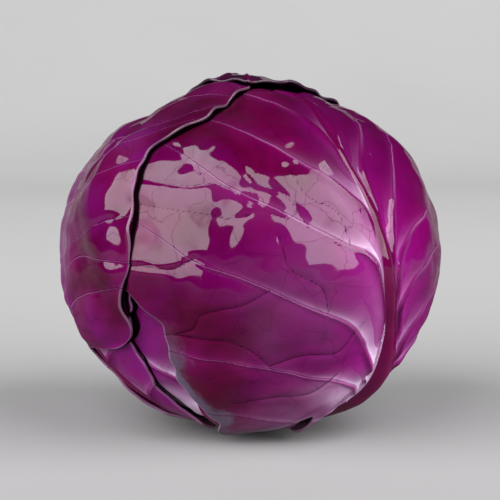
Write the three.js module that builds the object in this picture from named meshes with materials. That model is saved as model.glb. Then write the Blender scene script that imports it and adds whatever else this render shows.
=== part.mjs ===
// A head of red cabbage: seven wrapper leaves lapped round a tight heart, standing on its cut stem.
// Millimetres, +Z up. The head's front faces -Y. The origin is the middle of its footprint, on the
// surface that it stands on.
//
// A leaf is drawn flat, in degrees, on a chart that is wrapped round the head: its centre touches the
// head at an azimuth and elevation, q runs up the leaf towards its tip and p to the right, as seen from
// outside. A place on the chart lies as many degrees round the head as it lies from the chart's centre.
import * as THREE from "three";

// The whole head, over its wrapper leaves
const halfWidth = 76.5;
const halfDepth = 74.5;
const halfHeight = 70.5;
const crownFullness = 2.0; // exponent of the upper half's outline: 2 is an ellipse
const seatFullness = 1.92; // the lower half is a little slimmer

// Wrapper leaves
const wrapDepth = 7; // from the head's outline down to the heart
const leafThickness = 1.2;
const layerGap = 1.1; // free space between two leaves that lie on each other
const layerGapAtStem = 2; // and between their thick, stiff bases
const ribHeightAtBase = 4;
const ribHalfWidthAtBase = 9.5;
const ribTaper = 44; // degrees along the leaf over which the rib shrinks to a third
const drapeStart = 3; // an upper leaf stays level this far past the edge of the leaf beneath it
const drapeEnd = 19; // and has come down to the next layer this far past it
const drapeAtStem = 0.65; // the drape is this much tighter where the leaf bases crowd round the stem

// The underside curves up to the stem, so that the thick leaf bases clear the surface
const dimpleDepth = 10;
const dimpleAngle = 40; // degrees from the dimple's axis
const dimpleLean = 8; // degrees that this axis leans from the stem's towards the back

// Cut stem
const stemReach = 69.3; // from the head's centre down to the cut face
const stemRadius = 14;
const stemHeight = 11;
const stemNeckRadius = 12.5;
const stemEdge = 0.8; // the cut face's small chamfer

const degree = Math.PI / 180;
const mmPerDegree = halfWidth * degree;
const stemAxis = new THREE.Vector3(0, 0, -1);
const dimpleAxis = stemAxis.clone().applyAxisAngle(new THREE.Vector3(1, 0, 0), dimpleLean * degree);

// Each leaf's outline is a list of [direction, reach] in degrees. The direction is turned clockwise
// from the tip, and the reach is the distance from the chart's centre. A sway [size, q, spread] bends
// the midrib sideways by that many degrees around the height q. The list runs from the innermost leaf
// to the outermost.
const leaves = [
  {
    name: "lower_front_leaf",
    azimuth: -14,
    elevation: -6,
    cells: 16,
    colour: 0x8a1a78,
    sways: [[-4, -40, 26]],
    outline: [
      [0, 58], [45, 54], [90, 56], [135, 56], [156, 61], [167, 69], [180, 68], [193, 69], [204, 61], [225, 56],
      [270, 52], [315, 54],
    ],
  },
  {
    name: "lower_right_leaf",
    azimuth: 124,
    elevation: -8,
    cells: 16,
    colour: 0x741266,
    sways: [[5, -45, 28]],
    outline: [
      [0, 60], [45, 56], [90, 52], [135, 54], [156, 58], [167, 67], [180, 66], [193, 67], [204, 59], [225, 55],
      [270, 54], [315, 56],
    ],
  },
  {
    name: "lower_back_leaf",
    azimuth: -150,
    elevation: -8,
    cells: 16,
    colour: 0x7c1470,
    sways: [[4, -45, 28]],
    outline: [
      [0, 60], [45, 56], [90, 54], [135, 53], [156, 57], [167, 66], [180, 66], [193, 66], [204, 57], [225, 50],
      [270, 52], [315, 56],
    ],
  },
  {
    name: "lower_left_leaf",
    azimuth: -74,
    elevation: -6,
    cells: 14,
    colour: 0x86207a,
    sways: [[3, -60, 26]],
    outline: [
      [0, 48], [45, 40], [90, 36], [126, 35], [136, 40], [147, 44], [155, 54], [164, 66], [178, 68], [191, 67],
      [205, 56], [225, 50], [270, 48], [315, 48],
    ],
  },
  {
    name: "front_leaf",
    azimuth: 47,
    elevation: 0,
    cells: 22,
    colour: 0x7d0062,
    sways: [[15, -72, 34], [-8, 20, 36]],
    outline: [
      [0, 96], [30, 92], [60, 90], [90, 88], [112, 78], [130, 66], [143, 64], [153, 70], [163, 76], [175, 73],
      [187, 73], [198, 75], [214, 78], [240, 79], [256, 79], [272, 92], [290, 99], [310, 98], [335, 96],
    ],
  },
  {
    name: "left_leaf",
    azimuth: -112,
    elevation: 0,
    cells: 20,
    colour: 0x78005c,
    sways: [[4, -50, 28], [-5, 40, 26]],
    outline: [
      [0, 86], [10, 92], [20, 90], [36, 87], [50, 75], [66, 73], [84, 74], [104, 71], [118, 68], [128, 54],
      [142, 54], [158, 66], [168, 75], [180, 74], [192, 75], [204, 64], [226, 60], [260, 70], [300, 74], [335, 80],
    ],
  },
  {
    name: "crown_leaf",
    azimuth: 180,
    elevation: 15,
    cells: 24,
    colour: 0x5c1048,
    sways: [[4, -60, 30], [4, 45, 26]],
    outline: [
      [0, 84], [11, 79], [22, 74], [38, 63], [60, 58], [85, 60], [115, 65], [142, 68], [158, 79], [168, 90],
      [180, 89], [192, 90], [202, 79], [218, 69], [240, 65], [290, 66], [315, 64], [333, 72], [347, 80],
    ],
  },
];

function smoothStep(low, high, value) {
  const t = THREE.MathUtils.clamp((value - low) / (high - low), 0, 1);
  return t * t * (3 - 2 * t);
}

// The distance from the head's centre to its outline, in the direction of a unit vector.
function headRadius(direction) {
  const fullness = direction.z > 0 ? crownFullness : seatFullness;
  const level = Math.hypot(direction.x / halfWidth, direction.y / halfDepth);
  const upright = Math.abs(direction.z) / halfHeight;
  const outline = (level ** fullness + upright ** fullness) ** (-1 / fullness);
  const fromDimple = direction.angleTo(dimpleAxis) / degree;
  return outline - dimpleDepth * (1 - smoothStep(0, dimpleAngle, fromDimple));
}

// The chart's centre and its two axes, as unit vectors.
function chartOf({ azimuth, elevation }) {
  const a = azimuth * degree;
  const e = elevation * degree;
  const centre = new THREE.Vector3(Math.sin(a) * Math.cos(e), -Math.cos(a) * Math.cos(e), Math.sin(e));
  const right = new THREE.Vector3(Math.cos(a), Math.sin(a), 0);
  return { centre, right, up: centre.clone().cross(right) };
}

// The unit vector towards a place on the chart.
function directionOf(chart, p, q) {
  const reach = Math.hypot(p, q);
  const sideways = reach > 0 ? Math.sin(reach * degree) / reach : 0;
  return chart.centre
    .clone()
    .multiplyScalar(Math.cos(reach * degree))
    .addScaledVector(chart.right, p * sideways)
    .addScaledVector(chart.up, q * sideways);
}

// The place on the chart that a unit vector points to.
function placeOf(chart, direction) {
  const reach = direction.angleTo(chart.centre) / degree;
  const across = direction.dot(chart.right);
  const along = direction.dot(chart.up);
  const scale = reach / (Math.hypot(across, along) || 1);
  return { p: across * scale, q: along * scale };
}

// How far the leaf reaches from its chart's centre, towards a place on the chart.
function outlineReach({ outline }, p, q) {
  const turn = (Math.atan2(p, q) / degree + 360) % 360;
  const closed = [...outline, [360, outline[0][1]]];
  const next = closed.findIndex(([angle]) => angle > turn);
  const [lowAngle, lowReach] = closed[next - 1];
  const [highAngle, highReach] = closed[next];
  return THREE.MathUtils.lerp(lowReach, highReach, smoothStep(lowAngle, highAngle, turn));
}

// The midrib stands out of the leaf as a rounded ridge that tapers from the base to the tip.
function ribHeight({ sways }, p, q, spread = 1) {
  const middle = sways.reduce((sum, [size, at, width]) => sum + size * Math.exp(-(((q - at) / width) ** 2)), 0);
  const taper = Math.exp(-(q + 70) / ribTaper);
  const offset = ((p - middle) * mmPerDegree) / ((1.2 + ribHalfWidthAtBase * taper) * spread);
  return ribHeightAtBase * Math.min(taper, 1.2) * Math.exp(-(offset ** 2));
}

// One at the stem, falling to zero above the leaf bases.
function nearStem(direction) {
  return 1 - smoothStep(10, 60, direction.angleTo(stemAxis) / degree);
}

function gapAt(direction) {
  return THREE.MathUtils.lerp(layerGap, layerGapAtStem, nearStem(direction));
}

// A leaf adds this much to the radius of every leaf that lies over it.
function layerHeight(leaf, direction) {
  const { p, q } = placeOf(leaf.chart, direction);
  const past = (Math.hypot(p, q) - outlineReach(leaf, p, q)) * mmPerDegree;
  const covered = 1 - smoothStep(drapeStart, drapeEnd * THREE.MathUtils.lerp(1, drapeAtStem, nearStem(direction)), past);
  return covered * (leafThickness + gapAt(direction) + ribHeight(leaf, p, q, 1.4));
}

function innerRadius(leavesBeneath, direction) {
  const beneath = leavesBeneath.reduce((sum, leaf) => sum + layerHeight(leaf, direction), 0);
  return headRadius(direction) - wrapDepth + gapAt(direction) + beneath;
}

// A thin slab of square cells is rounded to a disc, stretched to the leaf's outline and wrapped round
// the head. The slab's lower face becomes the leaf's inner side.
function leafGeometry(leaf, leavesBeneath) {
  const geometry = new THREE.BoxGeometry(2, 2, 2, leaf.cells, leaf.cells, 1);
  const points = geometry.getAttribute("position");
  for (let i = 0; i < points.count; i++) {
    const x = points.getX(i);
    const y = points.getY(i);
    const discX = x * Math.sqrt(1 - (y * y) / 2);
    const discY = y * Math.sqrt(1 - (x * x) / 2);
    const reach = outlineReach(leaf, discX, discY);
    const direction = directionOf(leaf.chart, discX * reach, discY * reach);
    const outward = points.getZ(i) > 0 ? leafThickness + ribHeight(leaf, discX * reach, discY * reach) : 0;
    const place = direction.multiplyScalar(innerRadius(leavesBeneath, direction) + outward);
    points.setXYZ(i, place.x, place.y, place.z);
  }
  return geometry;
}

// The leaves inside the wrappers grow so tight that they are one solid ball. It ends above the stem.
function heartGeometry() {
  const geometry = new THREE.IcosahedronGeometry(1, 8);
  const points = geometry.getAttribute("position");
  const direction = new THREE.Vector3();
  for (let i = 0; i < points.count; i++) {
    direction.fromBufferAttribute(points, i).normalize();
    direction.multiplyScalar(headRadius(direction) - wrapDepth);
    points.setXYZ(i, direction.x, direction.y, direction.z);
  }
  return geometry;
}

function stemGeometry() {
  const profile = [
    [0, 0],
    [stemRadius - stemEdge, 0],
    [stemRadius, stemEdge],
    [stemNeckRadius, stemHeight],
    [0, stemHeight],
  ].map(([radius, height]) => new THREE.Vector2(radius, height));
  return new THREE.LatheGeometry(profile, 24).rotateX(Math.PI / 2).translate(0, 0, -stemReach);
}

function pieceOf(name, geometry, colour, roughness) {
  const material = new THREE.MeshStandardMaterial({ color: colour, roughness, metalness: 0 });
  const piece = new THREE.Mesh(geometry, material);
  piece.name = name;
  return piece;
}

const head = new THREE.Group();
head.add(pieceOf("stem", stemGeometry(), 0xd9cfae, 0.6));
head.add(pieceOf("heart", heartGeometry(), 0x6a1058, 0.4));
leaves.forEach((leaf, order) => {
  leaf.chart = chartOf(leaf);
  head.add(pieceOf(leaf.name, leafGeometry(leaf, leaves.slice(0, order)), leaf.colour, 0.25));
});

// The head is set down so that its footprint is centred on the origin and its lowest point is at zero.
const cabbage = new THREE.Group();
cabbage.add(head);
const box = new THREE.Box3().setFromObject(head, true);
const middle = box.getCenter(new THREE.Vector3());
head.position.set(-middle.x, -middle.y, -box.min.z);

export default cabbage;
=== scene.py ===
import math

import bmesh
import bpy
import numpy as np
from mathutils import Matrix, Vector


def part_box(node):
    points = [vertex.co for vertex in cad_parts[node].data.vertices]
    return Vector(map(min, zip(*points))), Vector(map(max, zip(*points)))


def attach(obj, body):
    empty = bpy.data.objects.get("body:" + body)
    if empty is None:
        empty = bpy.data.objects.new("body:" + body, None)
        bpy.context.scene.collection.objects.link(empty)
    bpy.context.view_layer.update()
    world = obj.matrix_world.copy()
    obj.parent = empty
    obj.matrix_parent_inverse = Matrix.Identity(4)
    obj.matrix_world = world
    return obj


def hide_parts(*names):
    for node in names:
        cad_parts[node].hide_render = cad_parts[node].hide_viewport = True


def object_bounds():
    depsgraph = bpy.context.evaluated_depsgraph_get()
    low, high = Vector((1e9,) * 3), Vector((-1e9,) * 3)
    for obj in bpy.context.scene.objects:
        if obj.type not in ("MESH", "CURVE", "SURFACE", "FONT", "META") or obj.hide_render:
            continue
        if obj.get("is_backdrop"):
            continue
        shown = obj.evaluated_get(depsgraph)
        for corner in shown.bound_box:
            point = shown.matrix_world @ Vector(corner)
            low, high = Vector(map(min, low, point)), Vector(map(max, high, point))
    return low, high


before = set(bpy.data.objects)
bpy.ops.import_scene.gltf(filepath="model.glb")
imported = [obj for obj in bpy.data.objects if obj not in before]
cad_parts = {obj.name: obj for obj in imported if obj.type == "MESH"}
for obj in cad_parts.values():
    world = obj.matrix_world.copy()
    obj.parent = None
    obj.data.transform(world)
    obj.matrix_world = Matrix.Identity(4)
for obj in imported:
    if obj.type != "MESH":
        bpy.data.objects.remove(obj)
cadBox = [list(corner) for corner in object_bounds()]

# A head of red cabbage: wrapper leaves lapped round a tight heart, standing on its cut stem.
# Lengths are in millimetres and angles in degrees until a mesh is written, and then in metres. The
# studio's lengths are in metres. An azimuth is 0 at the front and grows to the right.
#
# Each leaf is drawn flat on a chart wrapped round the head. The chart's centre touches the head at an
# azimuth and an elevation, q runs up the leaf to its tip and p to the right as seen from outside, and
# both are degrees round the head from the centre.

mm = 0.001

head = {
    "halfWidth": 76.5,
    "halfDepth": 74.5,
    "halfHeight": 70.5,
    "crownFullness": 2.0,  # exponent of the upper outline, where 2 is an ellipse
    "seatFullness": 1.92,
    "wrapDepth": 7.0,  # from the outline down to the heart
    "dimpleDepth": 10.0,
    "dimpleAngle": 40.0,
    "dimpleLean": 8.0,
    "bulges": [  # azimuth, elevation, spread, height
        (-8, -62, 16, 2.2),
        (36, -54, 18, 3.6),
        (30, -68, 12, 2.5),
    ],
}

layering = {
    "thickness": 1.2,
    "gap": 1.1,
    "gapAtStem": 2.0,
    "drapeStart": 1.5,
    "drapeEnd": 17.0,
    "drapeAtStem": 0.65,
    "stemZone": (10.0, 60.0),  # degrees from straight down, where a leaf counts as near the stem
}

midrib = {
    "height": 4.0,
    "base": -70.0,
    "taper": 44.0,
    "mostTaper": 1.2,
    "bulgeHalfWidth": 9.5,  # the bulge that a rib makes in the leaves over it
    "bulgeSpread": 1.4,
    "halfWidth": 5.0,  # the rib that shows
    "narrowsAt": -4.0,
    "narrowsOver": 15.0,
    "footWidening": 3.5,
    "footZone": (-18.0, -55.0),
    "tipHalfWidth": 1.0,
    "leastHeight": 0.5,
    "heightShowing": 0.75,
    "profileReach": 1.3,
}

tracing = {
    "sideVeinSteps": 28,
    "minorVeinSteps": 30,
    "runOn": 50.0,  # degrees that a side vein runs on past its last point
    "usualSpan": 24.0,  # mm between side veins past the first and the last
    "farAway": 30.0,  # mm, as far as a small vein or an upper margin matters
    "batch": 8192,  # places compared with a vein at a time
}

meanRadius = 75.0
mmPerDegree = head["halfWidth"] * math.pi / 180

stemLow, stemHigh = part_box("stem")
heartLow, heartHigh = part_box("heart")
headCentre = np.array([
    (stemLow[0] + stemHigh[0]) / 2,
    (stemLow[1] + stemHigh[1]) / 2,
    heartHigh[2] - (head["halfHeight"] - head["wrapDepth"]) * mm,
])


def smoothStep(low, high, value):
    t = np.clip((value - low) / (high - low), 0, 1)
    return t * t * (3 - 2 * t)


# A smooth line through a few (place, value) pairs, level or straight beyond its ends.
def lineThrough(knots, at, straight=False):
    x, y = np.array(sorted(knots), float).T
    slope = np.gradient(y, x)
    i = np.clip(np.searchsorted(x, at) - 1, 0, len(x) - 2)
    width = x[i + 1] - x[i]
    t = np.clip((at - x[i]) / width, 0, 1)
    value = (
        (2 * t**3 - 3 * t**2 + 1) * y[i]
        + (t**3 - 2 * t**2 + t) * width * slope[i]
        + (3 * t**2 - 2 * t**3) * y[i + 1]
        + (t**3 - t**2) * width * slope[i + 1]
    )
    if straight:
        value += np.minimum(at - x[0], 0) * slope[0] + np.maximum(at - x[-1], 0) * slope[-1]
    return value


def towards(azimuth, elevation):
    a, e = math.radians(azimuth), math.radians(elevation)
    return np.array([math.sin(a) * math.cos(e), -math.cos(a) * math.cos(e), math.sin(e)])


def degreesFrom(centre, d):
    return np.degrees(np.arccos(np.clip(d @ centre, -1, 1)))


# Random swells of one wavelength over the head, about as often up as down.
def swell(d, waveLength, seed):
    rng = np.random.default_rng(seed)
    heading = rng.normal(size=(20, 3))
    heading /= np.linalg.norm(heading, axis=1)[:, None]
    heading *= 2 * math.pi / waveLength * rng.uniform(0.75, 1.3, (20, 1))
    waves = np.sin(d * meanRadius @ heading.T + rng.uniform(0, 2 * math.pi, 20))
    return waves.sum(axis=1) / math.sqrt(10)


def headRadius(d):
    level = np.hypot(d[:, 0] / head["halfWidth"], d[:, 1] / head["halfDepth"])
    upright = np.abs(d[:, 2]) / head["halfHeight"]
    fullness = np.where(d[:, 2] > 0, head["crownFullness"], head["seatFullness"])
    outline = (level**fullness + upright**fullness) ** (-1 / fullness)
    for azimuth, elevation, spread, rise in head["bulges"]:
        outline = outline + rise * np.exp(-((degreesFrom(towards(azimuth, elevation), d) / spread) ** 2))
    fromDimple = degreesFrom(towards(180, head["dimpleLean"] - 90), d)
    return outline - head["dimpleDepth"] * (1 - smoothStep(0, head["dimpleAngle"], fromDimple))


def nearStem(d):
    return 1 - smoothStep(*layering["stemZone"], degreesFrom(towards(0, -90), d))


def gapAt(d):
    return layering["gap"] + (layering["gapAtStem"] - layering["gap"]) * nearStem(d)


def chartOf(leaf):
    centre = towards(leaf["azimuth"], leaf["elevation"])
    right = towards(leaf["azimuth"] + 90, 0)
    return centre, right, np.cross(centre, right)


def directionOf(leaf, p, q):
    centre, right, up = chartOf(leaf)
    reach = np.hypot(p, q)
    sideways = np.sin(np.radians(reach)) / np.maximum(reach, 1e-9)
    return (
        centre * np.cos(np.radians(reach))[:, None]
        + right * (p * sideways)[:, None]
        + up * (q * sideways)[:, None]
    )


def placeOf(leaf, d):
    centre, right, up = chartOf(leaf)
    across, along = d @ right, d @ up
    scale = degreesFrom(centre, d) / np.maximum(np.hypot(across, along), 1e-9)
    return across * scale, along * scale


def outlineReach(leaf, p, q):
    turn = np.degrees(np.arctan2(p, q)) % 360
    outline = leaf["outline"]
    around = [(angle - 360, reach) for angle, reach in outline[-2:]]
    around += outline + [(angle + 360, reach) for angle, reach in outline[:2]]
    waves = leaf.get("marginWaves", 0.8)
    turned = np.radians(turn)
    frill = (
        0.5 * np.sin(11 * turned + leaf["seed"])
        + 0.4 * np.sin(23 * turned + 2.1 * leaf["seed"])
        + 0.3 * np.sin(41 * turned + 3.7 * leaf["seed"])
    )
    return lineThrough(around, turn) + waves * frill


def midribAt(leaf, q):
    return lineThrough(leaf["midrib"], q, straight=True)


# How tall the rib is at a height on the leaf, as a share of its height at the base.
def ribTaper(q):
    return np.minimum(np.exp(-(q - midrib["base"]) / midrib["taper"]), midrib["mostTaper"])


# How far a leaf's rib lifts the leaves over it.
def ribBulge(leaf, p, q):
    offset = (p - midribAt(leaf, q)) * mmPerDegree
    halfWidth = midrib["bulgeSpread"] * (midrib["tipHalfWidth"] + midrib["bulgeHalfWidth"] * ribTaper(q))
    return midrib["height"] * ribTaper(q) * np.exp(-((offset / halfWidth) ** 2))


def ribHalfWidth(q):
    stalk = midrib["halfWidth"] / (1 + np.exp((q - midrib["narrowsAt"]) / midrib["narrowsOver"]))
    return midrib["tipHalfWidth"] + stalk + midrib["footWidening"] * smoothStep(*midrib["footZone"], q)


# The rib that shows is a smooth ridge that runs out into the blade on both sides.
def ribHeight(leaf, p, q):
    offset = (p - midribAt(leaf, q)) * mmPerDegree / ribHalfWidth(q)
    profile = np.clip(1 - (offset / midrib["profileReach"]) ** 2, 0, 1) ** 2
    return (midrib["leastHeight"] + midrib["heightShowing"] * midrib["height"] * ribTaper(q)) * profile


# The side veins of a leaf that names none: they leave the midrib in turn, left and right.
def veinFan(leaf, side):
    rng = np.random.default_rng(leaf["seed"] + side)
    pairs = 7
    veins = []
    for i, q in enumerate(np.linspace(-56, 62, pairs)):
        t = i / (pairs - 1)
        q += rng.uniform(-3, 3) + side * 4
        middle = float(midribAt(leaf, np.array([q]))[0])
        rise = rng.uniform(0.85, 1.15)
        veins.append([
            (middle, q),
            (middle + side * 14, q + (9 + 6 * t) * rise),
            (middle + side * 38, q + (21 + 14 * t) * rise),
            (middle + side * 66, q + (31 + 20 * t) * rise),
        ])
    return veins


# A vein's few points as many close ones on a smooth line.
def closePoints(vein, perPoint):
    points = np.array(vein, float)
    steps = np.arange(len(points))
    fine = np.linspace(0, len(points) - 1, perPoint * (len(points) - 1) + 1)
    return np.column_stack([lineThrough(list(zip(steps, points[:, k])), fine) for k in (0, 1)])


# From each place to the nearest point of a line, and which point that is.
def wayFrom(line, p, q):
    nearest = np.empty(len(p), int)
    for start in range(0, len(p), tracing["batch"]):
        part = slice(start, start + tracing["batch"])
        gap = (p[part, None] - line[:, 0]) ** 2 + (q[part, None] - line[:, 1]) ** 2
        nearest[part] = gap.argmin(axis=1)
    return np.column_stack([p, q]) - line[nearest], nearest


# How far each place lies above a vein, in millimetres: negative below it. The vein runs on past the
# margin, so that every place has a side.
def heightAbove(vein, p, q, side):
    points = np.array(vein, float)
    last = points[-1] - points[-2]
    end = points[-1] + last / np.linalg.norm(last) * tracing["runOn"]
    line = closePoints([*points, end], tracing["sideVeinSteps"])
    heading = np.gradient(line, axis=0)
    heading /= np.linalg.norm(heading, axis=1)[:, None]
    away, nearest = wayFrom(line, p, q)
    along = heading[nearest]
    turn = along[:, 0] * away[:, 1] - along[:, 1] * away[:, 0]
    return np.sign(turn) * side * np.hypot(away[:, 0], away[:, 1]) * mmPerDegree


# The phase counts veins from the base to the tip: it is a whole number on each vein and runs evenly
# from one vein to the next. The span is the distance between the two veins beside a place.
def veinPhase(leaf, p, q):
    usual = tracing["usualSpan"]
    phase = np.zeros(len(p))
    span = np.full(len(p), usual)
    onRight = p > midribAt(leaf, q)
    for side, name in ((-1, "leftVeins"), (1, "rightVeins")):
        mine = onRight if side > 0 else ~onRight
        if not mine.any():
            continue
        veins = leaf[name] if name in leaf else veinFan(leaf, side)
        above = np.array([heightAbove(vein, p[mine], q[mine], side) for vein in veins])
        count = np.minimum(above[0], 0) / usual + np.maximum(above[-1], 0) / usual
        width = np.full(above.shape[1], usual)
        for low, high in zip(above[:-1], above[1:]):
            between = (low > 0) & (high < 0)
            share = np.where(between, low / np.maximum(low - high, 1e-6), (high >= 0) & (low > 0))
            count += share
            width = np.where(between, low - high, width)
        phase[mine] = count + 20
        span[mine] = np.clip(width, 4, 60)
    return phase, span


# How far each place lies from the nearest of the small veins that fork off the side veins.
def minorVeinDistance(leaf, p, q):
    nearest = np.full(len(p), tracing["farAway"])
    for vein in leaf.get("minorVeins", []):
        away, _ = wayFrom(closePoints(vein, tracing["minorVeinSteps"]), p, q)
        nearest = np.minimum(nearest, np.hypot(away[:, 0], away[:, 1]) * mmPerDegree)
    return nearest


def marginPast(leaf, d):
    p, q = placeOf(leaf, d)
    return (np.hypot(p, q) - outlineReach(leaf, p, q)) * mmPerDegree, p, q


def layerHeight(leaf, d):
    past, p, q = marginPast(leaf, d)
    tight = 1 + (layering["drapeAtStem"] - 1) * nearStem(d)
    covered = 1 - smoothStep(layering["drapeStart"], layering["drapeEnd"] * tight, past)
    return covered * (layering["thickness"] + gapAt(d) + ribBulge(leaf, p, q))


def innerRadius(beneath, d):
    return headRadius(d) - head["wrapDepth"] + gapAt(d) + sum(layerHeight(leaf, d) for leaf in beneath)


leaves = [
    {
        "name": "lower_front_leaf", "seed": 3, "azimuth": -14, "elevation": -6, "cells": 150,
        "midrib": [(-84, -3), (-40, -4), (0, 0), (50, 0)],
        "outline": [
            (0, 58), (45, 54), (90, 56), (135, 56), (156, 61), (167, 69), (180, 68), (193, 69), (204, 61),
            (225, 56), (270, 52), (315, 54),
        ],
        "puff": 1.0, "lift": 0.6, "look": "bright",
    },
    {
        "name": "lower_right_leaf", "seed": 5, "azimuth": 124, "elevation": -8, "cells": 150,
        "midrib": [(-82, 4), (-45, 5), (0, 1), (50, 0)],
        "outline": [
            (0, 60), (45, 56), (90, 52), (135, 54), (156, 58), (167, 67), (180, 66), (193, 67), (204, 59),
            (225, 55), (270, 54), (315, 56),
        ],
        "puff": 1.0, "lift": 0.6, "look": "plain",
    },
    {
        "name": "lower_back_leaf", "seed": 8, "azimuth": -150, "elevation": -8, "cells": 150,
        "midrib": [(-82, 3), (-45, 4), (0, 0), (50, 0)],
        "outline": [
            (0, 60), (45, 56), (90, 54), (135, 53), (156, 57), (167, 66), (180, 66), (193, 66), (204, 57),
            (225, 50), (270, 52), (315, 56),
        ],
        "puff": 1.0, "lift": 0.6, "look": "plain",
    },
    {
        "name": "lower_left_leaf", "seed": 12, "azimuth": -74, "elevation": -6, "cells": 150,
        "midrib": [(-84, 2), (-60, 3), (0, 1), (50, 0)],
        "outline": [
            (0, 48), (45, 40), (90, 36), (126, 35), (136, 40), (147, 44), (155, 54), (164, 66), (178, 68),
            (191, 67), (205, 56), (225, 50), (270, 48), (315, 48),
        ],
        "puff": 1.2, "lift": 1.0, "look": "bright",
    },
    {
        "name": "front_leaf", "seed": 1, "azimuth": 47, "elevation": 0, "cells": 216,
        "midrib": [
            (-84, 15), (-60, 18), (-50, 18), (-41, 15), (-29, 9.5), (-20, 5), (-8, -1), (10, -4), (34, -6),
            (52, -5), (74, 6),
        ],
        "leftVeins": [
            [(16, -60), (2, -57), (-14, -55), (-40, -58)],
            [(17, -53), (6, -46), (-2, -40), (-11, -36), (-24, -34), (-36, -32), (-57, -31), (-70, -31)],
            [
                (13, -42), (2, -33), (-5, -26), (-10, -20), (-17, -14), (-31, -8), (-50, 1), (-64, 7),
                (-76, 18),
            ],
            [(1, -20), (-5, -5), (-10, 5), (-20, 11), (-35, 21), (-49, 32), (-56, 42), (-62, 54)],
            [(-4, 2), (-7, 16), (-14, 26), (-24, 37), (-34, 50), (-42, 62)],
            [(-6, 34), (-9, 49), (-13, 65), (-18, 78)],
        ],
        "rightVeins": [
            [(17, -52), (18, -40), (21, -32), (30, -25), (60, -18)],
            [(14, -44), (16, -31), (15, -23), (19, -15), (27, -9), (50, 0)],
            [(8, -34), (10, -22), (6, -12), (9, -6), (18, 1), (30, 5), (60, 14)],
            [(3, -24), (2, -10), (2, 0), (5, 6), (14, 12), (26, 17), (60, 30)],
            [(-2, -12), (-1, 2), (1, 11), (8, 22), (17, 33), (30, 46)],
            [(-5, 8), (-3, 20), (-2, 30), (4, 40), (16, 51), (26, 62)],
            [(-6, 40), (0, 58), (8, 76)],
        ],
        "minorVeins": [
            [(-64, 8), (-71, 4), (-79, 5), (-90, 4)],
            [(-42, -3), (-50, -8), (-61, -12), (-64, -19), (-72, -24)],
            [(-36, -32), (-45, -25), (-56, -22), (-70, -23)],
            [(-49, 32), (-55, 35), (-63, 36), (-76, 42)],
            [(-46, 22), (-51, 21), (-57, 23), (-66, 26), (-80, 31)],
            [(-30, 18), (-34, 27), (-42, 34), (-44, 44)],
            [(-16, 9), (-19, 20), (-27, 26), (-30, 37)],
            [(-24, -10), (-27, -2), (-36, 4), (-38, 14)],
            [(-13, -17), (-17, -24), (-28, -25), (-37, -30)],
            [(-13, -33), (-20, -41), (-30, -44), (-42, -52)],
        ],
        "outline": [
            (0, 96), (30, 92), (60, 90), (90, 88), (112, 78), (130, 66), (143, 64), (153, 70), (163, 76),
            (175, 74), (184, 70), (190, 56), (195, 54), (200, 66), (204, 77), (214, 76), (226, 78),
            (242, 78), (256, 77), (264, 83), (272, 91), (290, 99), (310, 98), (335, 96),
        ],
        "puff": 0.9, "puffRound": 1.0, "lift": 0.7, "marginWaves": 1.0, "look": "main",
        "closeMargin": True,  # it lies flat on the leaves beneath, and no painted gap shadow is drawn past its margin
    },
    {
        "name": "left_leaf", "seed": 2, "azimuth": -112, "elevation": 0, "cells": 210,
        "midrib": [(-80, 3), (-50, 4), (0, 0), (40, -5), (80, 0)],
        "rightVeins": [
            [(4, -56), (20, -44), (42, -34), (64, -30)],
            [(4, -42), (22, -28), (41, -14), (53, -9), (72, -4)],
            [(4, -28), (20, -14), (41, -2), (52, 4), (66, 5), (80, 6)],
            [(2, -14), (18, -3), (46, 8), (70, 22), (84, 28)],
            [(1, 0), (16, 13), (33, 24), (51, 33), (59, 43), (66, 56)],
            [(-1, 12), (13, 24), (29, 34), (46, 44), (49, 54), (52, 70)],
            [(-2, 24), (12, 34), (30, 43), (40, 55), (44, 69), (40, 84)],
            [(-4, 40), (8, 50), (20, 62), (28, 76)],
        ],
        "outline": [
            (0, 87), (10, 93), (20, 92), (30, 90), (37, 88), (42, 83), (48, 76), (56, 74), (70, 75),
            (84, 76), (97, 72), (112, 71), (118, 62), (124, 51), (132, 46), (142, 51), (156, 64),
            (168, 75), (180, 74), (192, 75), (204, 64), (226, 60), (260, 70), (300, 74), (335, 80),
        ],
        "puff": 1.7, "lift": 0.9, "marginWaves": 0.5, "look": "side",
    },
    {
        "name": "crown_leaf", "seed": 7, "azimuth": 180, "elevation": 15, "cells": 210,
        "midrib": [(-96, 2), (-60, 4), (0, 1), (45, 4), (80, 2)],
        "outline": [
            (0, 84), (11, 79), (22, 70), (30, 60), (40, 53), (60, 52), (85, 58), (115, 65), (142, 68),
            (158, 79), (168, 90), (180, 89), (192, 90), (202, 79), (218, 69), (240, 65), (290, 58),
            (315, 52), (330, 60), (338, 69), (347, 78),
        ],
        "puff": 1.3, "lift": 0.8, "curl": 1.6, "marginWaves": 1.0, "look": "crown",
    },
]


blade = {
    "wall": 0.95,
    "blister": (0.17, 19, 40),  # height, wavelength, seed
    "fineBlister": (0.07, 8, 50),
    "broadSwell": (0.38, 48, 60),
    "marginWave": (15, 70),  # wavelength, seed
    "crease": 0.35,  # the depth of a small vein
    "fullSpan": 26.0,  # side veins this far apart have a full puff between them
    "tautZone": (-32, -4),  # degrees up the leaf, below which the blade lies flatter
    "tautShare": 0.45,
    "curlZone": (50, 70),
}


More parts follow.
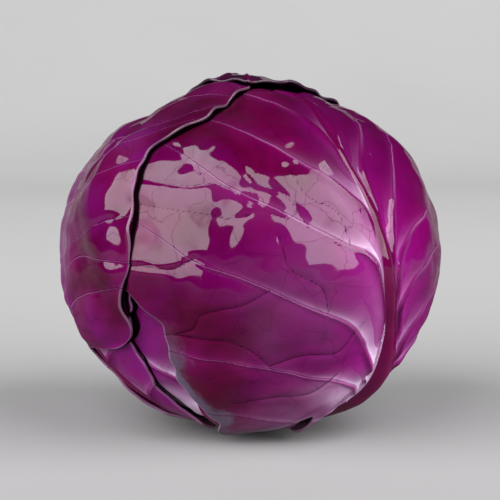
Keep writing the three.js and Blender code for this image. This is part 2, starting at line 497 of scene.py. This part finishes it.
# Everything that stands out of a leaf's own surface, and what its material needs to know of it.
def leafRelief(leaf, p, q, d, over):
    ribOffset = (p - midribAt(leaf, q)) * mmPerDegree
    ribWidth = ribHalfWidth(q)
    phase, span = veinPhase(leaf, p, q)
    minor = minorVeinDistance(leaf, p, q)
    share = phase - np.floor(phase)
    nearest = np.minimum(share, 1 - share) * span
    away = np.maximum(np.abs(ribOffset) - ribWidth, 0)
    past, _, _ = marginPast(leaf, d)
    edge = -past

    beside = smoothStep(0, 4, away)
    fade = smoothStep(0, 12, edge)
    veinHalfWidth = 0.8 + 2.2 * np.exp(-away / 12)
    vein = (0.25 + 1.5 * np.exp(-away / 16)) * np.exp(-((nearest / veinHalfWidth) ** 2))
    crease = blade["crease"] * np.exp(-((minor / 1.5) ** 2))
    puff = leaf["puff"] * (4 * share * (1 - share)) ** leaf.get("puffRound", 0.7)
    puff *= np.clip(span / blade["fullSpan"], 0.3, 1.2)
    blister, fineBlister, broad = [
        height * swell(d, waveLength, leaf["seed"] + seed)
        for height, waveLength, seed in (blade["blister"], blade["fineBlister"], blade["broadSwell"])
    ]

    hidden = 0
    # distance past each upper leaf's margin, for the dark gap shadow painted there
    paintedGapShadow = np.full(len(p), tracing["farAway"])
    for upper in over:
        pastUpper, _, _ = marginPast(upper, d)
        hidden = np.maximum(hidden, 1 - smoothStep(-6, 0, pastUpper))
        if not upper.get("closeMargin"):
            paintedGapShadow = np.minimum(paintedGapShadow, np.abs(pastUpper))
    free = (1 - hidden) * (1 - 0.8 * nearStem(d))
    taut = blade["tautShare"] + (1 - blade["tautShare"]) * smoothStep(*blade["tautZone"], q)
    folds = vein + puff * taut * smoothStep(0, 18, away) + blister + fineBlister - crease
    relief = (beside * folds + broad + 0.4) * (0.35 + 0.65 * fade)
    waveLength, seed = blade["marginWave"]
    waves = swell(d, waveLength, leaf["seed"] + seed)
    relief += leaf["lift"] * taut * np.exp(-np.maximum(edge, 0) / 2.2) * (0.7 + 0.6 * waves)
    curl = leaf.get("curl", 0) * np.exp(-np.maximum(edge, 0) / 3) * np.exp(-((p / 22) ** 2))
    curl *= smoothStep(*blade["curlZone"], q)
    relief = np.maximum((relief + curl * (1 + 0.5 * waves)) * free, 0)

    values = {
        "phase": phase, "span": span, "minor": minor, "rib": ribOffset, "ribWidth": ribWidth, "edge": edge,
        "nearStem": nearStem(d), "up": q, "paintedGapShadow": paintedGapShadow,
    }
    return ribHeight(leaf, p, q) + relief, values


# A square grid is rounded to a disc, stretched to the leaf's outline and wrapped round the head.
def makeLeaf(order):
    leaf = leaves[order]
    grid = bmesh.new()
    bmesh.ops.create_grid(grid, x_segments=leaf["cells"], y_segments=leaf["cells"], size=1)
    mesh = bpy.data.meshes.new(leaf["name"])
    grid.to_mesh(mesh)
    grid.free()

    flat = np.empty(len(mesh.vertices) * 3)
    mesh.vertices.foreach_get("co", flat)
    x, y, _ = flat.reshape(-1, 3).T
    discX, discY = x * np.sqrt(1 - y * y / 2), y * np.sqrt(1 - x * x / 2)
    reach = outlineReach(leaf, discX, discY)
    p, q = discX * reach, discY * reach
    d = directionOf(leaf, p, q)
    height, values = leafRelief(leaf, p, q, d, leaves[order + 1:])
    radius = innerRadius(leaves[:order], d) + layering["thickness"] + height
    mesh.vertices.foreach_set("co", (d * radius[:, None] * mm + headCentre).ravel())
    for name, value in values.items():
        mesh.attributes.new(name, "FLOAT", "POINT").data.foreach_set("value", value.astype(np.float32))
    mesh.shade_smooth()

    piece = bpy.data.objects.new(leaf["name"] + "_skin", mesh)
    bpy.context.collection.objects.link(piece)
    wall = piece.modifiers.new("wall", "SOLIDIFY")
    wall.thickness = blade["wall"] * mm
    wall.offset = -1
    mesh.materials.append(leafMaterial(leaf["name"], looks[leaf["look"]]))
    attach(piece, "root")
    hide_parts(leaf["name"])
    leaf["name"]
    print("leaf", leaf["name"], len(mesh.polygons), "faces")


# A node's output, on which arithmetic adds Math nodes.
class Signal:
    def __init__(self, tree, socket=None):
        self.tree = tree
        self.socket = socket

    def node(self, kind, settings, inputs, output=0):
        made = self.tree.nodes.new(kind)
        for name, value in settings.items():
            setattr(made, name, value)
        for name, value in inputs.items():
            if isinstance(value, Signal):
                self.tree.links.new(value.socket, made.inputs[name])
            else:
                made.inputs[name].default_value = value
        return Signal(self.tree, made.outputs[output] if made.outputs else None)

    def math(self, operation, a, b=0.0):
        return self.node("ShaderNodeMath", {"operation": operation}, {0: a, 1: b})

    def __add__(self, other):
        return self.math("ADD", self, other)

    __radd__ = __add__

    def __sub__(self, other):
        return self.math("SUBTRACT", self, other)

    def __rsub__(self, other):
        return self.math("SUBTRACT", other, self)

    def __mul__(self, other):
        return self.math("MULTIPLY", self, other)

    __rmul__ = __mul__

    def __truediv__(self, other):
        return self.math("DIVIDE", self, other)

    def __neg__(self):
        return self.math("MULTIPLY", self, -1.0)

    def __abs__(self):
        return self.math("ABSOLUTE", self)

    def atLeast(self, lowest):
        return self.math("MAXIMUM", self, lowest)

    def __round__(self):
        return self.math("ROUND", self)

    def power(self, exponent):
        return self.math("POWER", self, exponent)

    def decay(self):  # 1 at zero, falling towards 0
        return self.math("EXPONENT", -self)

    def clamped(self):
        return self.node("ShaderNodeClamp", {}, {"Value": self})

    def rise(self, low, high):  # 0 below low, 1 above high, smooth between
        return self.node(
            "ShaderNodeMapRange", {"interpolation_type": "SMOOTHSTEP"},
            {"Value": self, "From Min": low, "From Max": high},
        )

    def blend(self, under, over):  # this signal is the share of the colour over, from sockets 6 and 7
        return self.node("ShaderNodeMix", {"data_type": "RGBA"}, {0: self, 6: under, 7: over}, 2)


def colour(red, green, blue):
    return (red, green, blue, 1.0)


# Every look but the main one is the main one with some colours changed.
mainLook = {
    "panel": colour(0.036, 0.00012, 0.0112),
    "deep": colour(0.02, 0.00008, 0.004),
    "violet": colour(0.04038, 0.00012, 0.026),
    "flush": colour(0.150, 0.0020, 0.112),
    "vein": colour(0.0425, 0.00025, 0.02),
    "pink": colour(0.22, 0.08, 0.19),
    "rib": colour(0.045, 0.0004, 0.018),
    # pale flesh colour, also used for painted highlights
    "paleFleshAndHighlight": colour(0.25, 0.185, 0.26),
    "bloom": colour(0.038, 0.033, 0.050),
    # the dark of the painted shade lines along the veins and the rib's edge, and of the fine vein net
    "line": colour(0.007, 0.0001, 0.003),
    "bloomShare": 0.8,
}
looks = {
    "main": mainLook,
    "bright": {
        **mainLook, "panel": colour(0.065, 0.001, 0.0425), "deep": colour(0.035, 0.0005, 0.0175),
        "violet": colour(0.07, 0.002, 0.065), "flush": colour(0.085, 0.004, 0.065), "bloomShare": 0.2,
    },
    "side": {
        **mainLook, "panel": colour(0.040, 0.0003, 0.016), "violet": colour(0.056, 0.001, 0.050),
        "flush": colour(0.105, 0.0020, 0.082), "bloomShare": 0.5,
    },
    "plain": {**mainLook, "panel": colour(0.04, 0.0005, 0.0225), "bloomShare": 0.6},
    "crown": {
        **mainLook, "panel": colour(0.014, 0.0004, 0.0075), "deep": colour(0.007, 0.0002, 0.003),
        "violet": colour(0.018, 0.0008, 0.014), "flush": colour(0.03, 0.001, 0.022),
        "paleFleshAndHighlight": colour(0.08, 0.055, 0.08), "bloomShare": 1.0,
    },
}


def newMaterial(name):
    material = bpy.data.materials.new(name)
    material.use_nodes = True
    material.node_tree.nodes.clear()
    return material, Signal(material.node_tree)


def finishMaterial(start, inputs):
    shader = start.node("ShaderNodeBsdfPrincipled", {}, inputs, "BSDF")
    start.node("ShaderNodeOutputMaterial", {}, {"Surface": shader})


def attribute(start, name):
    return start.node("ShaderNodeAttribute", {"attribute_name": name}, {}, "Fac")


def objectPlace(start):
    return start.node("ShaderNodeTexCoord", {}, {}, "Object")


def bumps(start, height, strength):
    return start.node("ShaderNodeBump", {}, {"Strength": strength, "Distance": mm, "Height": height})


def noise(start, place, scale, detail=3.0, distortion=0.0):
    return start.node(
        "ShaderNodeTexNoise", {},
        {"Vector": place, "Scale": scale, "Detail": detail, "Distortion": distortion}, "Fac",
    )


def netting(start, place, scale, width):  # 1 on the lines of a net, 0 in its meshes
    toLine = start.node(
        "ShaderNodeTexVoronoi", {"feature": "DISTANCE_TO_EDGE"}, {"Vector": place, "Scale": scale},
        "Distance",
    )
    return 1 - toLine.rise(0.0, width)


skin = {  # lengths in mm, heights on the leaf in degrees
    "veinReach": 13.0,  # how far from the midrib a side vein stays broad
    "cornerReach": 20.0,  # pale flesh and painted highlight above the side veins
    "besideReach": 3.6,  # pale flesh and painted highlight along the midrib
    "footReach": 17.0,  # pale flesh beside the foot of the midrib
    "flushReach": 24.0,
    "lobePlace": (-29.0, -41.5),
    "lobeSize": (16.0, 5.5),
    # the gap shadow is painted: a dark line on a leaf just past the margin of a leaf over it
    "paintedGapShadowWidth": (0.7, 1.6),
    "stemTone": colour(0.18, 0.12, 0.13),
    "paintedGapShadowTone": colour(0.002, 0.0005, 0.001),
    "coat": 0.5,
    "coatRoughness": 0.06,
    "coatIor": 1.4,
}


def leafMaterial(name, look):
    material, start = newMaterial(name)
    phase, span = attribute(start, "phase"), attribute(start, "span")
    rib, ribWidth = attribute(start, "rib"), attribute(start, "ribWidth")
    edge, minor = attribute(start, "edge"), attribute(start, "minor")
    stemward, up = attribute(start, "nearStem"), attribute(start, "up")
    # painted shadow: dark just past the margin of a leaf that lies over this one
    paintedGapShadow = 1 - attribute(start, "paintedGapShadow").rise(*skin["paintedGapShadowWidth"])
    place = objectPlace(start)
    drift = start.node(
        "ShaderNodeTexNoise", {}, {"Vector": place, "Scale": 60.0, "Detail": 4.0}, "Color"
    )
    bent = start.node(
        "ShaderNodeVectorMath", {"operation": "MULTIPLY_ADD"},
        {0: drift, 1: (0.016, 0.016, 0.016), 2: place},
    )

    # mm above the nearest side vein, negative below it, and mm past the midrib's side
    nearestVein = round(phase)
    above = (phase - nearestVein) * span
    toVein = abs(above)
    share = phase - start.math("FLOOR", phase)
    away = (abs(rib) - ribWidth).atLeast(0.0)
    besideRib = (abs(rib) - ribWidth).rise(-0.25, 0.25)
    near = (away / skin["veinReach"]).decay()

    # a side vein is a broad smooth ridge at the midrib and a thin pink line further out
    veinHalfWidth = 0.35 + near * 2.2
    offVein = toVein / veinHalfWidth
    ridge = (offVein * offVein).decay() * besideRib
    pinkLine = ridge * (away / 60.0).decay() * away.rise(8.0, 34.0)
    # painted shade: a dark line just above each side vein, away from the midrib
    paintedVeinShade = (1 - abs(above - veinHalfWidth - 0.15).rise(0.0, 0.32)) * besideRib * (1 - near)
    # painted shade in the crease along each small vein
    minorVeinShade = (1 - minor.rise(0.15, 0.65)) * besideRib

    # pale flesh, partly the leaf's own colour and partly painted highlight, shows in the corner above each
    # vein and runs up beside the midrib
    aboveVein = (above - veinHalfWidth).atLeast(0.0)
    isAbove = (above - veinHalfWidth).rise(-0.3, 0.9) * besideRib
    leftSide = rib.rise(1.0, -1.0)
    corner = (aboveVein / (0.8 + near * 4.0)).decay() * isAbove
    corner = corner * (away / skin["cornerReach"]).decay() * (0.2 + leftSide * 0.8)
    beside = (away / skin["besideReach"]).decay() * (1 - share) * (1 - ridge) * besideRib
    beside = beside * (0.2 + leftSide * 1.3)
    patchy = noise(start, place, 60.0, 2.0).rise(0.35, 0.6)
    foot = (away / skin["footReach"]).decay() * besideRib * up.rise(-39.0, -50.0) * leftSide
    foot = foot * (0.35 + patchy * 0.5)
    lobeAcross, lobeAlong = [
        (signal - middle) / size
        for signal, middle, size in zip((rib, up), skin["lobePlace"], skin["lobeSize"])
    ]
    lobe = (lobeAcross * lobeAcross + lobeAlong * lobeAlong).decay() * (1 - ridge) * 0.5
    paleFleshAndHighlight = (corner * 1.7 + beside + foot + lobe) * (0.25 + up.rise(25.0, -8.0) * 0.75)
    paleFleshAndHighlight = (paleFleshAndHighlight * up.rise(62.0, 30.0)).clamped()

    # magenta flushes the blade beside the midrib, less towards the tip
    flush = (away / skin["flushReach"]).decay() * 0.75 * (1 - up.rise(2.0, 38.0) * 0.85)
    flush = (flush + (toVein / 4.0).decay() * 0.12).clamped()

    smudge = noise(start, place, 48.0, 6.0, 1.2).rise(0.5, 0.68)
    net = netting(start, bent, 55.0, 0.016) * besideRib
    fineNet = netting(start, bent, 190.0, 0.05) * besideRib

    tone = noise(start, place, 34.0, 4.0, 0.8).rise(0.38, 0.62)
    violet = noise(start, place, 21.0, 3.0, 0.4).rise(0.42, 0.6)
    mottle = noise(start, place, 160.0, 4.0)
    base = (tone * 0.85 + mottle * 0.3 - 0.08).clamped().blend(look["deep"], look["panel"])
    base = (violet * 0.55).blend(base, look["violet"])
    base = flush.blend(base, look["flush"])
    wax = noise(start, place, 15.0, 5.0, 0.4).rise(0.45, 0.75)
    # the lower part of the leaf, where painted bounce light from the floor brightens the colour
    low = up.rise(0.0, -42.0)
    frayed = edge + noise(start, place, 90.0, 5.0) * -22.0
    marginBloom = (1 - frayed.rise(-8.5, -3.5)) * up.rise(-12.0, -46.0) * rib.rise(-38.0, -58.0)
    bloom = ((wax * 0.25 + marginBloom * 0.95) * look["bloomShare"]).clamped()
    base = bloom.blend(base, look["bloom"])
    base = (ridge * (0.25 + near * 0.75)).clamped().blend(base, look["vein"])
    base = (pinkLine * 0.6).clamped().blend(base, look["pink"])
    # partly the leaf's own pale flesh and partly painted highlight
    base = (paleFleshAndHighlight * (0.7 + patchy * 0.3)).clamped().blend(base, look["paleFleshAndHighlight"])
    base = (1 - besideRib).blend(base, look["rib"])
    # painted shade: a dark line along the rib's edge
    ribEdgeShade = 1 - abs(rib - ribWidth - 0.1).rise(0.05, 0.4)
    # dark lines: painted shade above the side veins, in the small veins' creases and along the rib's edge,
    # with the darker net of fine veins
    veinShadeAndNet = (paintedVeinShade * 0.6 + minorVeinShade * 0.6 + ribEdgeShade * 0.6 + net * 0.2).clamped()
    base = veinShadeAndNet.blend(base, look["line"])
    # painted highlight: a thin pale rim along the leaf's margin
    base = ((1 - edge.rise(0.15, 0.8)) * 0.15).blend(base, look["paleFleshAndHighlight"])
    base = (stemward.power(4.0) * 0.7).clamped().blend(base, skin["stemTone"])
    # painted shadow in the gap under an upper leaf's margin
    base = paintedGapShadow.blend(base, skin["paintedGapShadowTone"])
    # painted light: the colour is brightened towards the bottom as painted bounce light from the floor and
    # darkened towards the top as painted shade
    paintedLightScale = (1 + low * 0.7) * (1 - up.rise(28.0, 62.0) * 0.3)
    base = start.node("ShaderNodeVectorMath", {"operation": "SCALE"}, {0: base, "Scale": paintedLightScale})

    # each vein is a fine thread in relief, with a furrow under it
    thread = above / 0.7
    minorThread = minor / 0.6
    height = (
        (thread * thread).decay() * 0.20 * besideRib + ridge * 0.12 - paintedVeinShade * 0.12
        - (minorThread * minorThread).decay() * 0.16 - net * 0.05 + fineNet * 0.015 + mottle * 0.04
    )
    furrows = (minorVeinShade * 0.75 + paintedVeinShade * 0.75 + net * 0.4).clamped()
    gloss = (1 - bloom * 0.6) * (1 - up.rise(10.0, -16.0) * 0.6) * (1 - smudge * 0.42)
    gloss = gloss * (1 - paintedGapShadow) * (1 - furrows)
    finishMaterial(start, {
        "Base Color": base,
        "Roughness": (0.5 + mottle * 0.2).clamped(),
        "Normal": bumps(start, height, 1.0),
        "Specular IOR Level": 0.0,
        "Coat Weight": (gloss * skin["coat"]).clamped(),
        "Coat Roughness": skin["coatRoughness"],
        "Coat IOR": skin["coatIor"],
    })
    return material


heart = {
    "subdivisions": 6,
    "inset": 0.3,  # below the leaves' own base
    "waveHeight": 0.3,
    "waveLength": 30,
    "seed": 21,
    "deep": colour(0.045, 0.001, 0.025),
    "light": colour(0.1, 0.005, 0.065),
    "foot": colour(0.25, 0.18, 0.21),
    "footZone": (0.03, 0.012),  # metres up from the surface
    "roughness": 0.4,
}


def makeHeart():
    ball = bmesh.new()
    bmesh.ops.create_icosphere(ball, subdivisions=heart["subdivisions"], radius=1)
    mesh = bpy.data.meshes.new("heart")
    ball.to_mesh(mesh)
    ball.free()
    flat = np.empty(len(mesh.vertices) * 3)
    mesh.vertices.foreach_get("co", flat)
    d = flat.reshape(-1, 3)
    d /= np.linalg.norm(d, axis=1)[:, None]
    waves = heart["waveHeight"] * swell(d, heart["waveLength"], heart["seed"])
    radius = headRadius(d) - head["wrapDepth"] - heart["inset"] + waves
    mesh.vertices.foreach_set("co", (d * radius[:, None] * mm + headCentre).ravel())
    mesh.shade_smooth()

    material, start = newMaterial("heart")
    place = objectPlace(start)
    tone = noise(start, place, 40.0, 4.0, 1.0)
    low = start.node("ShaderNodeSeparateXYZ", {}, {"Vector": place}, "Z").rise(*heart["footZone"])
    base = tone.blend(heart["deep"], heart["light"])
    base = (low * 0.8).blend(base, heart["foot"])
    bump = bumps(start, noise(start, place, 120.0, 3.0), 0.5)
    finishMaterial(start, {"Base Color": base, "Roughness": heart["roughness"], "Normal": bump})
    mesh.materials.append(material)

    piece = bpy.data.objects.new("heart_ball", mesh)
    bpy.context.collection.objects.link(piece)
    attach(piece, "root")
    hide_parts("heart")
    print("heart", len(mesh.polygons), "faces")


stem = {
    "radius": 14.0,
    "neckRadius": 12.5,
    "edge": 1.0,
    "sides": 96,
    "ringRadius": 9.6,
    "shadedSkinZone": (12.0, 13.4),  # mm from the middle
    "pith": colour(0.50, 0.47, 0.36),
    "grain": colour(0.39, 0.35, 0.24),
    "ring": colour(0.30, 0.28, 0.15),
    # the stem's purple-brown skin, darkened as painted shade under the head
    "shadedSkin": colour(0.10, 0.05, 0.06),
    "roughness": 0.65,
}


def makeStem():
    top = (stemHigh[2] - stemLow[2]) / mm
    profile = [
        (0, 0.0), (stem["radius"] * 0.5, 0.0), (stem["radius"] - stem["edge"], 0.0),
        (stem["radius"] - 0.3 * stem["edge"], 0.3 * stem["edge"]), (stem["radius"], stem["edge"]),
        (stem["radius"] * 0.97, top * 0.5), (stem["neckRadius"], top), (0, top),
    ]
    stalk = bmesh.new()
    verts = [stalk.verts.new((radius * mm, 0, height * mm)) for radius, height in profile]
    edges = [stalk.edges.new(pair) for pair in zip(verts, verts[1:])]
    bmesh.ops.spin(
        stalk, geom=verts + edges, cent=(0, 0, 0), axis=(0, 0, 1), angle=2 * math.pi,
        steps=stem["sides"], use_merge=True,
    )
    bmesh.ops.remove_doubles(stalk, verts=stalk.verts, dist=1e-6)
    bmesh.ops.recalc_face_normals(stalk, faces=stalk.faces)
    bmesh.ops.translate(stalk, verts=stalk.verts, vec=(headCentre[0], headCentre[1], stemLow[2]))
    mesh = bpy.data.meshes.new("stem")
    stalk.to_mesh(mesh)
    stalk.free()
    mesh.shade_smooth()

    material, start = newMaterial("stem")
    place = objectPlace(start)
    centred = start.node(
        "ShaderNodeMapping", {},
        {"Vector": place, "Location": (-headCentre[0], -headCentre[1], 0.0)},
    )
    reach = start.node("ShaderNodeVectorMath", {"operation": "LENGTH"}, {0: centred}, "Value") / mm
    grain = noise(start, place, 220.0, 5.0, 1.5)
    ring = 1 - abs(reach - stem["ringRadius"] + grain * 1.6).rise(0.2, 1.3)
    # the skin round the stem's side, darkened as painted shade under the head
    shadedSkin = reach.rise(*stem["shadedSkinZone"])
    base = grain.blend(stem["pith"], stem["grain"])
    base = (ring * 0.7).blend(base, stem["ring"])
    base = (shadedSkin * 0.9).blend(base, stem["shadedSkin"])
    bump = bumps(start, grain + ring * 0.4, 0.8)
    finishMaterial(start, {"Base Color": base, "Roughness": stem["roughness"], "Normal": bump})
    mesh.materials.append(material)

    piece = bpy.data.objects.new("stem_stalk", mesh)
    bpy.context.collection.objects.link(piece)
    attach(piece, "root")
    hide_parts("stem")
    print("stem", len(mesh.polygons), "faces")


studio = {
    "cameraElevation": 8.0,
    "cameraDistance": 0.92,
    "lens": 166.0,
    "aim": (0.0, 0.0, 0.0705),
    "floorReach": 4.0,
    "sweepStart": 0.85,
    "sweepRadius": 0.8,
    "sweepTurn": 63,  # degrees, in steps of 3
    "floorTone": colour(0.110, 0.107, 0.110),
    "wallTone": colour(0.345, 0.342, 0.345),
    "wallZone": (-0.3, 1.1),  # where the floor's tone turns into the wall's
    "cloudTone": colour(0.1, 0.1, 0.1),
    "roughness": 0.75,
    "panels": {  # azimuth, elevation, width and height, as seen from the head
        "left_panel": (-49, 34, 66, 56),
        "right_panel": (59, 34, 58, 56),
    },
    "panelDistance": 1.2,
    "panelRadiance": 12.2,
    "skyTone": colour(0.62, 0.62, 0.63),
    "skyStrength": 0.03,
}


def makeCamera():
    data = bpy.data.cameras.new("camera")
    data.lens = studio["lens"]
    data.sensor_width = 36
    camera = bpy.data.objects.new("camera", data)
    bpy.context.collection.objects.link(camera)
    aim = Vector(studio["aim"])
    camera.location = aim + studio["cameraDistance"] * Vector(towards(0, studio["cameraElevation"]))
    camera.rotation_euler = (aim - camera.location).to_track_quat("-Z", "Y").to_euler()
    bpy.context.scene.camera = camera


def makePanel(name, azimuth, elevation, wide, tall):
    distance = studio["panelDistance"]
    data = bpy.data.lights.new(name, "AREA")
    data.shape = "RECTANGLE"
    data.size = 2 * distance * math.tan(math.radians(wide / 2))
    data.size_y = 2 * distance * math.tan(math.radians(tall / 2))
    data.energy = studio["panelRadiance"] * math.pi * data.size * data.size_y
    panel = bpy.data.objects.new(name, data)
    bpy.context.collection.objects.link(panel)
    aim = Vector(studio["aim"])
    panel.location = aim + distance * Vector(towards(azimuth, elevation))
    panel.rotation_euler = (aim - panel.location).to_track_quat("-Z", "Y").to_euler()


# A level floor that curves up behind the head.
def makeFloor():
    sweep = bmesh.new()
    reach, rampStart, radius = studio["floorReach"], studio["sweepStart"], studio["sweepRadius"]
    path = [(-reach, 0.0)] + [
        (rampStart + radius * math.sin(math.radians(t)), radius - radius * math.cos(math.radians(t)))
        for t in range(0, studio["sweepTurn"] + 1, 3)
    ]
    verts = [sweep.verts.new((-reach, y, z)) for y, z in path]
    edges = [sweep.edges.new(pair) for pair in zip(verts, verts[1:])]
    grown = bmesh.ops.extrude_edge_only(sweep, edges=edges)["geom"]
    moved = [item for item in grown if isinstance(item, bmesh.types.BMVert)]
    bmesh.ops.translate(sweep, verts=moved, vec=(2 * reach, 0, 0))
    bmesh.ops.recalc_face_normals(sweep, faces=sweep.faces)
    mesh = bpy.data.meshes.new("floor")
    sweep.to_mesh(mesh)
    sweep.free()
    mesh.shade_smooth()

    material, start = newMaterial("floor")
    place = objectPlace(start)
    cloud = noise(start, place, 5.0, 6.0, 0.3)
    depth = start.node("ShaderNodeSeparateXYZ", {}, {"Vector": place}, "Y")
    tone = depth.rise(*studio["wallZone"]).blend(studio["floorTone"], studio["wallTone"])
    base = (cloud * 0.16).blend(tone, studio["cloudTone"])
    finishMaterial(start, {"Base Color": base, "Roughness": studio["roughness"]})
    mesh.materials.append(material)
    floor = bpy.data.objects.new("floor", mesh)
    bpy.context.collection.objects.link(floor)
    floor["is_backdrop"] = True


def makeLight():
    for name, panel in studio["panels"].items():
        makePanel(name, *panel)
    world = bpy.data.worlds.new("studio")
    bpy.context.scene.world = world
    world.use_nodes = True
    sky = world.node_tree.nodes["Background"]
    sky.inputs["Color"].default_value = studio["skyTone"]
    sky.inputs["Strength"].default_value = studio["skyStrength"]
    bpy.context.scene.view_settings.view_transform = "Standard"
    print("studio ready")


makeCamera()
makeFloor()
makeLight()
for order in range(len(leaves)):
    makeLeaf(order)
makeHeart()
makeStem()

{"cad": cadBox, "visual": [list(corner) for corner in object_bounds()]}
